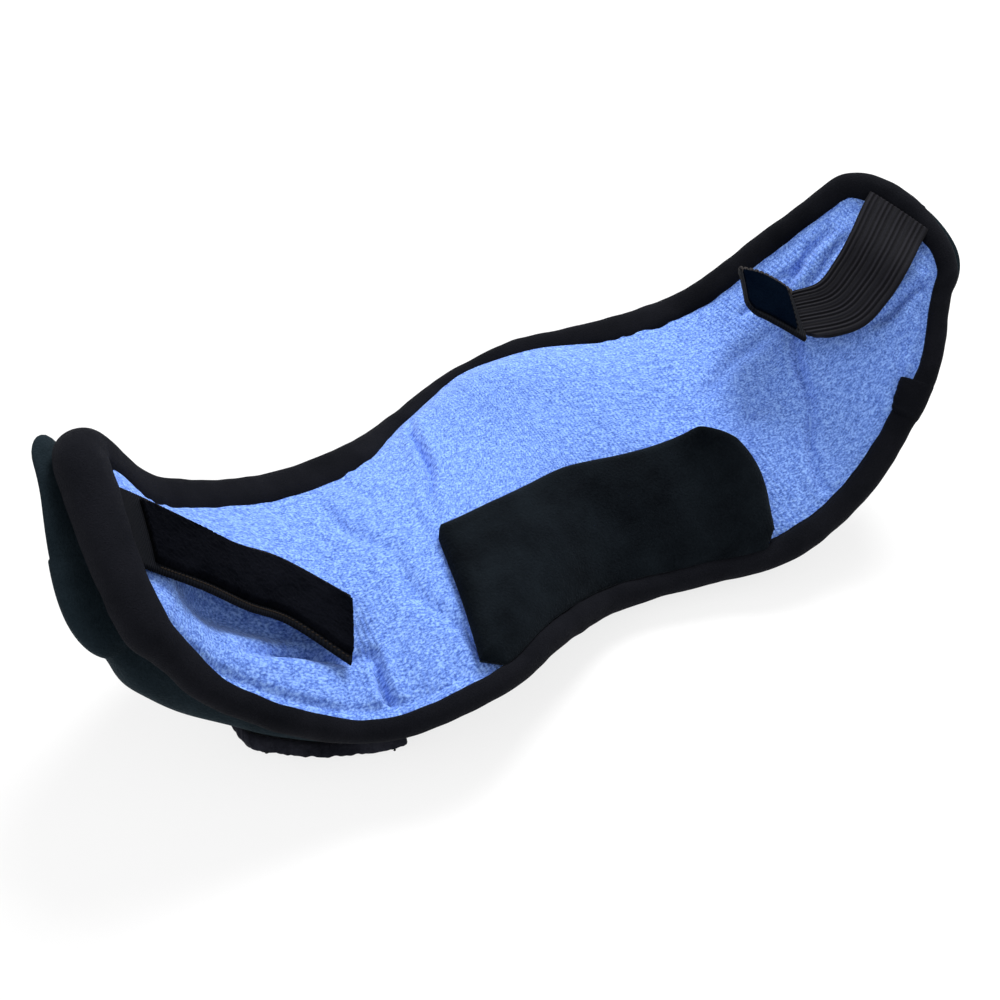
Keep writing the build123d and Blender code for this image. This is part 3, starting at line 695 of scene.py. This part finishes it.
def flapRim(s, t, inset=0.0):
    # 0 on the flap's outline, 1 past the rounded rim
    look = flapShape
    s = s / (1 - look["endRound"] * endRounding(t))
    tall = smoothValue(look["height"], s * 5)
    ends = np.minimum(s, 1 - s) * look["length"] - inset
    free = (1 - t) * tall - inset
    near = np.clip(np.minimum(ends, free) / look["rim"], 0, 1)
    return np.sqrt(1 - (1 - near) ** 2)


def makeFlapPly(name, columns, rows, inset, low, high, material, node, hemOver=0.0):
    look = flapShape
    piece, grid = newBlock(name, columns, rows)
    s = inset / look["length"] + (1 - 2 * inset / look["length"]) * grid[:, 0]
    corner = look["corner"] / look["length"]
    below = hemOver / look["height"][0]
    t = -below + (1 + below - inset / look["height"][0]) * grid[:, 1]
    pull = 1 - np.sqrt(np.clip(1 - np.clip((corner - np.minimum(s, 1 - s)) / corner, 0, 1) ** 2, 0, 1))
    t = t - pull * 0.08 * np.clip(t, 0, 1) ** 3
    s = s * (1 - look["endRound"] * endRounding(t))
    flat, normal, height, tall = flapSurface(s, t)
    rim = flapRim(s, t, inset)
    over = np.clip(-t / max(below, 0.001), 0, 1)
    window = np.clip(s / 0.05, 0, 1) * np.clip((1 - s) / 0.05, 0, 1)
    offset = low(rim, s, t) + (high(rim, s, t) - low(rim, s, t)) * grid[:, 2]
    offset = offset * (1 - over) + over * (grid[:, 2] * 0.9 + look["hemRise"])
    height = height - over**2 * 1.4
    side = bodyFrame(look["start"] + (look["end"] - look["start"]) * s)[1]
    draw = side * (over * hemOver * (1 - window))[:, None]
    placeVertices(piece, flat + draw + normal * (height + offset)[:, None])
    setClothMap(piece, s * look["length"] / 1000, t * 0.034)
    faceOutwards(piece)
    finishPiece(piece, material, None, [node])
    blendAcross(piece)


def blendAcross(piece):
    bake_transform(piece)


foamLow = flapShape["restGap"] + flapShape["backPly"] + 0.1
makeFlapPly("flapBack", 120, 50, 0.6, lambda rim, s, t: flapShape["restGap"] + 0 * s,
            lambda rim, s, t: flapShape["restGap"] + flapShape["backPly"] + 0 * s,
            jersey, "nose_flap_back")
makeFlapPly("flapFoam", 110, 40, 2.2, lambda rim, s, t: foamLow + 0 * s,
            lambda rim, s, t: foamLow + 0.2 + (flapShape["foam"] - 0.4) * rim,
            fibre, "nose_flap_foam")


def frontLow(rim, s, t):
    return foamLow - 0.6 + (flapShape["foam"] + 0.7) * rim


def frontHigh(rim, s, t):
    dome = flapShape["dome"] * np.sin(np.clip(s, 0, 1) * math.pi) * np.sin(np.clip(t, 0, 1) * math.pi)
    return frontLow(rim, s, t) + flapShape["frontPly"] * (0.55 + 0.45 * rim) + dome


makeFlapPly("flapFront", flapShape["columns"], flapShape["rows"], 0.0, frontLow, frontHigh,
            flapPlush, "nose_flap_front", flapShape["hemOver"])
print("nose flap made")

# --- straps: tapes along routes, the second list of each pointing across the tape
strapWidth = 19.0
leftRoute = [(-105.5, -1.9, 60.2), (-101.5, -3.9, 57), (-93.3, -7.9, 50.1), (-85.6, -10.5, 41.9),
             (-77.3, -13.8, 35.6), (-67.2, -24.4, 27.5)]
leftAcross = [(0.15, 0.95, 0.24), (0.15, 0.95, 0.24), (0.18, 0.97, 0.12), (0.22, 0.97, 0.08),
              (0.3, 0.95, 0.06), (0.43, 0.9, 0.065)]
rightRoute = [(108.4, -3.9, 76.4), (104.7, -5.6, 74.2), (97.3, -9.5, 69.9), (91.6, -11.3, 64.1),
              (85, -11.4, 58.1), (77.4, -5.0, 53.0)]
rightAcross = [(0.26, -0.94, -0.2), (0.26, -0.94, -0.2), (0.17, -0.98, -0.12), (0.1, -0.98, -0.1),
               (-0.08, -0.98, -0.13), (-0.46, -0.87, -0.14)]
tabRoute = [(77.8, -5.3, 53.2), (74.8, -1.6, 55.2), (71.2, 2.8, 57), (67.4, 6.8, 57.9)]
tabAcross = [(-0.46, -0.87, -0.14), (-0.52, -0.84, -0.13), (-0.56, -0.82, -0.1), (-0.565, -0.825, -0.03)]
tapeShape = {
    "tape": 1.3, "elastic": 1.6, "tab": 1.4, "pile": 1.5, "pileMargin": 1.8, "pileStart": 0.2, "stitches": 56,
    "ribs": 16, "ribDepth": 0.12, "cup": 0.35, "hook": 0.8, "hookMargin": 1.2, "cornerReach": 5.0,
    "seamStitches": 9, "overlockLoops": 22, "bendEnd": 1.7,
}
tapeHalf = strapWidth / 2


def routeLength(route):
    return np.linalg.norm(np.diff(np.array(route, float), axis=0), axis=1).sum()


def tapeFrame(route, widths, t):
    # point, across, upright and ahead directions at share t along a tape
    last = len(route) - 1
    k = t * last
    point = alongLine(route, k)
    ahead = alongLine(route, np.minimum(k + 0.1, last)) - alongLine(route, np.maximum(k - 0.1, 0))
    across = unit(alongLine(widths, k))
    ahead = unit(ahead - across * np.sum(ahead * across, 1, keepdims=True))
    return point, across, np.cross(ahead, across), ahead


def tapePoint(route, widths, t, x, height):
    point, across, upright, ahead = tapeFrame(route, widths, t)
    cup = tapeShape["cup"] * (np.abs(x) / tapeHalf) ** 2
    return point + across * x[:, None] + upright * (height - cup)[:, None]


def makeTape(name, columns, rows, route, widths, start, end, edges, low, high, cornerSide=0):
    # a closed tape between two distances across it, one far corner rounded on the side given
    piece, grid = newBlock(name, columns, rows)
    x = edges[0] + (edges[1] - edges[0]) * grid[:, 0]
    t = start + (end - start) * grid[:, 1]
    long = routeLength(route)
    if cornerSide:
        reach = tapeShape["cornerReach"]
        past = np.clip((x * cornerSide - tapeHalf + reach) / reach, 0, 1)
        t = t - (1 - np.sqrt(1 - past**2)) * reach / long * grid[:, 1] ** 4
    rim = np.clip(np.minimum(grid[:, 0], 1 - grid[:, 0]) * (edges[1] - edges[0]) / 0.5, 0, 1) ** 0.5
    middle = (low(x, t) + high(x, t)) / 2
    height = middle + (np.where(grid[:, 2] > 0.5, high(x, t), low(x, t)) - middle) * (0.35 + 0.65 * rim)
    placeVertices(piece, tapePoint(route, widths, t, x, height))
    setClothMap(piece, x / 1000, t * long / 1000)
    faceOutwards(piece)
    return piece


def copyAlong(name, model, places, axes):
    # one small model repeated: each copy gets its own vertices, its x, y and z turned on to the axes given
    corners = np.array([v.co[:] for v in model.data.vertices])
    faces = [tuple(f.vertices) for f in model.data.polygons]
    points, polygons = [], []
    for place, (ax, ay, az) in zip(places, axes):
        base = len(points) * len(corners)
        points.append(corners[:, :1] * ax + corners[:, 1:2] * ay + corners[:, 2:] * az + place)
        polygons += [tuple(base + i for i in face) for face in faces]
    mesh = bpy.data.meshes.new(name)
    mesh.from_pydata((np.vstack(points) / 1000).tolist(), [], polygons)
    piece = bpy.data.objects.new(name, mesh)
    bpy.context.collection.objects.link(piece)
    bpy.data.objects.remove(model, do_unlink=True)
    dropSelection()
    faceOutwards(piece)
    return piece


def stitchModel(long, wide, high):
    dropSelection()
    bpy.ops.mesh.primitive_uv_sphere_add(segments=8, ring_count=6, radius=0.5, location=(0, 0, 0))
    model = bpy.context.object
    model.scale = (long, wide, high)
    bpy.ops.object.transform_apply(location=True, rotation=True, scale=True)
    return model


def stitchRow(name, route, widths, spots, long, wide, high, alongTape, material, nodes):
    # stitches at (share along, distance across, height)
    spots = np.array(spots, float)
    point, across, upright, ahead = tapeFrame(route, widths, spots[:, 0])
    places = tapePoint(route, widths, spots[:, 0], spots[:, 1], spots[:, 2])
    axes = [(a, c, u) if alongTape else (c, a, u) for a, c, u in zip(ahead, across, upright)]
    piece = copyAlong(name, stitchModel(long, wide, high), places, axes)
    finishPiece(piece, material, None, nodes)
    return piece


def flatFace(value):
    return lambda x, t: value + 0 * x


def pileTop(x, t):
    ground = np.column_stack([x, t * 55, x * 0])
    look = tapeShape
    soft = np.clip((tapeHalf - look["pileMargin"] - np.abs(x)) / 0.9, 0, 1) ** 0.5
    height = look["tape"] / 2 + 0.35 + (look["pile"] - 0.35) * soft
    return height + 0.16 * softNoise(ground, 0.9, 2.2) + 0.12 * softNoise(ground, 3.1, 4.2)


tapeSide = tapeShape["tape"] / 2
leftStrap = makeTape("leftStrap", 60, 120, leftRoute, leftAcross, 0.0, 1.0, (-tapeHalf, tapeHalf),
                     flatFace(-tapeSide), flatFace(tapeSide))
finishPiece(leftStrap, tapeCloth, None, ["left_strap"])
pileHalf = tapeHalf - tapeShape["pileMargin"]
leftPile = makeTape("leftLoopPile", 90, 240, leftRoute, leftAcross, tapeShape["pileStart"], 0.995,
                    (-pileHalf, pileHalf), flatFace(tapeSide - 0.1), pileTop)
finishPiece(leftPile, loopPile, None, ["left_loop_pile"])
leftCount = tapeShape["stitches"]
leftSpots = [(0.22 + 0.77 * (i + 0.5) / leftCount, side * (pileHalf + 0.75), tapeSide + 0.1)
             for side in (-1, 1) for i in range(leftCount)]
leftStitches = stitchRow("leftStrapStitches", leftRoute, leftAcross, leftSpots, 0.8, 0.3, 0.3, True,
                         brownThread, ["left_strap_stitching"])
for piece in (leftStrap, leftPile, leftStitches):
    blendAcross(piece)
print("left strap made")


def ribbed(side):
    # one face of the elastic, its ribs running along it
    deep, ribs = tapeShape["ribDepth"], tapeShape["ribs"]
    return lambda x, t: side * (tapeShape["elastic"] / 2 - deep + deep * np.cos(x / strapWidth * 2 * math.pi * ribs))


rightStrap = makeTape("rightElastic", 240, 110, rightRoute, rightAcross, 0.0, 1.0, (-tapeHalf, tapeHalf),
                      ribbed(-1), ribbed(1), cornerSide=1)
finishPiece(rightStrap, elasticCloth, None, ["right_strap"])
blendAcross(rightStrap)

tabSide = tapeShape["tab"] / 2
hookTab = makeTape("hookTab", 60, 50, tabRoute, tabAcross, 0.0, 1.0, (-tapeHalf, tapeHalf),
                   flatFace(-tabSide), flatFace(tabSide), cornerSide=1)
finishPiece(hookTab, tapeCloth, "hook_tab", ["hook_tab"])


def hookTop(x, t):
    return tabSide + tapeShape["hook"] + 0.1 * softNoise(np.column_stack([x, t * 20, x * 0]), 0.7, 5.5)


hookHalf = tapeHalf - tapeShape["hookMargin"]
hookField = makeTape("hookField", 90, 90, tabRoute, tabAcross, 0.2, 0.965, (-hookHalf, hookHalf),
                     flatFace(tabSide - 0.1), hookTop, cornerSide=1)
finishPiece(hookField, hookPile, "hook_tab", ["hook_field"])
seamCount = tapeShape["seamStitches"]
seamSpots = [(0.145, -hookHalf + 2 * hookHalf * (i + 0.5) / seamCount, tabSide + 0.2) for i in range(seamCount)]
tabSeam = stitchRow("tabSeam", tabRoute, tabAcross, seamSpots, 1.4, 0.5, 0.5, False,
                    blackThread, ["tab_seam"])
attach(tabSeam, "hook_tab")


def makeOverlock():
    # thread loops wrapped over the tab's forehead edge
    dropSelection()
    bpy.ops.mesh.primitive_torus_add(major_radius=1.15, minor_radius=0.32, major_segments=16, minor_segments=6)
    model = bpy.context.object
    count = tapeShape["overlockLoops"]
    shares = np.linspace(0.03, 0.97, count)
    point, across, upright, ahead = tapeFrame(tabRoute, tabAcross, shares)
    middle = tapePoint(tabRoute, tabAcross, shares, np.full(count, -tapeHalf + 0.75), np.zeros(count))
    axes = []
    for i in range(count):
        lean = 0.22 * (-1) ** i
        axes.append((across[i] * 1.25 + ahead[i] * lean, upright[i] * (tabSide + 0.25), ahead[i] * 0.95))
    piece = copyAlong("tabOverlock", model, middle, axes)
    finishPiece(piece, greyThread, "hook_tab", ["tab_overlock"])


makeOverlock()
print("right strap and hook tab made")

# --- fleece patch on the outer side, and its stitches
patchShape = {
    "start": 1.46, "end": 2.42, "near": 62.0, "far": 2.0, "gap": 0.3, "thick": 2.4, "columns": 170, "rows": 110,
    "nap": 0.2, "long": 37, "wide": 26, "rim": 1.6, "raggedEdge": 0.4, "floorGap": 0.15, "stitches": 8,
}


def patchSpot(station, turn, out):
    # place on the stuffed side at a station, turn degrees up from its lowest line towards the nose
    w = (station * 2 / lastStation - 1) * (1 - bodyShape["tipShare"])
    return stuffedPlaces(w, -turn / 90, -out)


def makePatch():
    look = patchShape
    piece, grid = newBlock("fleecePatch", look["columns"], look["rows"])
    station = look["start"] + (look["end"] - look["start"]) * grid[:, 0]
    turn = look["far"] + (look["near"] - look["far"]) * grid[:, 1]
    edge = np.minimum(np.minimum(grid[:, 0], 1 - grid[:, 0]) * look["long"],
                      np.minimum(grid[:, 1], 1 - grid[:, 1]) * look["wide"])
    rounded = np.sqrt(1 - (1 - np.clip(edge / look["rim"], 0, 1)) ** 2)
    ragged = edge < look["raggedEdge"]
    ground = np.column_stack([station * 25, turn * 0.35, station * 0])
    nap = look["nap"] * (softNoise(ground, 1.1, 6.6) + 0.6 * softNoise(ground, 3.5, 1.6))
    out = look["gap"] + grid[:, 2] * ((look["thick"] - 0.8) * rounded + 0.8 + nap)
    station = station + 0.012 * softNoise(ground, 1.3, 8.8) * ragged
    places = patchSpot(station, turn + 1.2 * softNoise(ground, 1.2, 3.8) * ragged, out)
    placeVertices(piece, pressOnFloor(places, look["floorGap"]))
    setClothMap(piece, station * 0.025, turn * 0.0004)
    faceOutwards(piece)
    finishPiece(piece, fleece, "mask", ["outer_patch"])


def makePatchStitches():
    look = patchShape
    turns = np.repeat(np.linspace(30, look["near"], look["stitches"]), 2)
    stations = np.tile([look["start"] + 0.1, look["end"] - 0.1], look["stitches"])
    out = look["gap"] + look["thick"]
    places = patchSpot(stations, turns, out + 0.05)
    ahead = unit(patchSpot(stations, turns + 1, out) - places)
    up = unit(patchSpot(stations, turns, out + 1) - places)
    shown = places[:, 2] > 1.0
    places, ahead, up = places[shown], ahead[shown], up[shown]
    axes = [(a, np.cross(u, a), u) for a, u in zip(ahead, up)]
    piece = copyAlong("patchStitches", stitchModel(1.5, 0.5, 0.5), places, axes)
    finishPiece(piece, blackThread, "mask", ["outer_patch_stitching"])


makePatch()
makePatchStitches()
print("patch made")

# --- camera, lights, floor
cameraSetup = {
    "place": (-0.1297, -0.1687, 0.2187), "up": (0.3351, 0.6089, 0.7190), "look": (0.4115, 0.5919, -0.6931),
    "viewAngle": 49.155, "sensor": 36,
}
lampTarget = (0, 0, 0.03)


def makeCamera():
    look = cameraSetup
    dropSelection()
    bpy.ops.object.camera_add(location=look["place"])
    camera = bpy.context.object
    back = -Vector(look["look"]).normalized()
    up = Vector(look["up"]).normalized()
    right = up.cross(back).normalized()
    turn = Matrix((right, back.cross(right), back)).transposed()
    camera.rotation_mode = "QUATERNION"
    camera.rotation_quaternion = turn.to_quaternion()
    camera.data.sensor_width = look["sensor"]
    camera.data.lens = look["sensor"] / 2 / math.tan(math.radians(look["viewAngle"]) / 2)
    camera.data.clip_start = 0.01
    bpy.context.scene.camera = camera


def makeLamp(name, place, size, power):
    bpy.ops.object.light_add(type="AREA", location=place)
    lamp = bpy.context.object
    lamp.name = name
    lamp.data.size = size
    lamp.data.energy = power
    aim = Vector(lampTarget) - Vector(place)
    lamp.rotation_euler = aim.to_track_quat("-Z", "Y").to_euler()


makeCamera()
makeLamp("keyLamp", (0.45, 0.42, 0.82), 0.4, 13.5)
makeLamp("fillLamp", (0.5, -0.7, 0.7), 0.9, 3.0)
makeLamp("leftLamp", (-0.85, 0.1, 0.6), 0.8, 4.0)

bpy.ops.mesh.primitive_plane_add(size=6, location=(0, 0, -0.0002))
floor = bpy.context.object
floor.name = "paleFloor"
floorMaterial, tree, shader = newMaterial("paleFloor")
shader.inputs["Base Color"].default_value = (0.93, 0.93, 0.93, 1)
shader.inputs["Roughness"].default_value = 0.9
lightPath = tree.nodes.new("ShaderNodeLightPath")
seen = mathNode(tree, "MAXIMUM", lightPath.outputs["Is Camera Ray"],
                mathNode(tree, "MAXIMUM", lightPath.outputs["Is Glossy Ray"], lightPath.outputs["Is Transmission Ray"]))
glow = addNode(tree, "ShaderNodeEmission", Color=(1, 1, 1, 1), Strength=1.0)
mixed = tree.nodes.new("ShaderNodeMixShader")
tree.links.new(mathNode(tree, "MULTIPLY", seen, 0.78), mixed.inputs["Fac"])
tree.links.new(shader.outputs["BSDF"], mixed.inputs[1])
tree.links.new(glow.outputs["Emission"], mixed.inputs[2])
tree.links.new(mixed.outputs["Shader"], tree.nodes["Material Output"].inputs["Surface"])
floor.data.materials.append(floorMaterial)

world = bpy.data.worlds.new("paleStudio")
bpy.context.scene.world = world
world.use_nodes = True
world.node_tree.nodes["Background"].inputs["Color"].default_value = (1, 1, 1, 1)
world.node_tree.nodes["Background"].inputs["Strength"].default_value = 0.5
bpy.context.scene.view_settings.view_transform = "Standard"
print("camera and lights made")
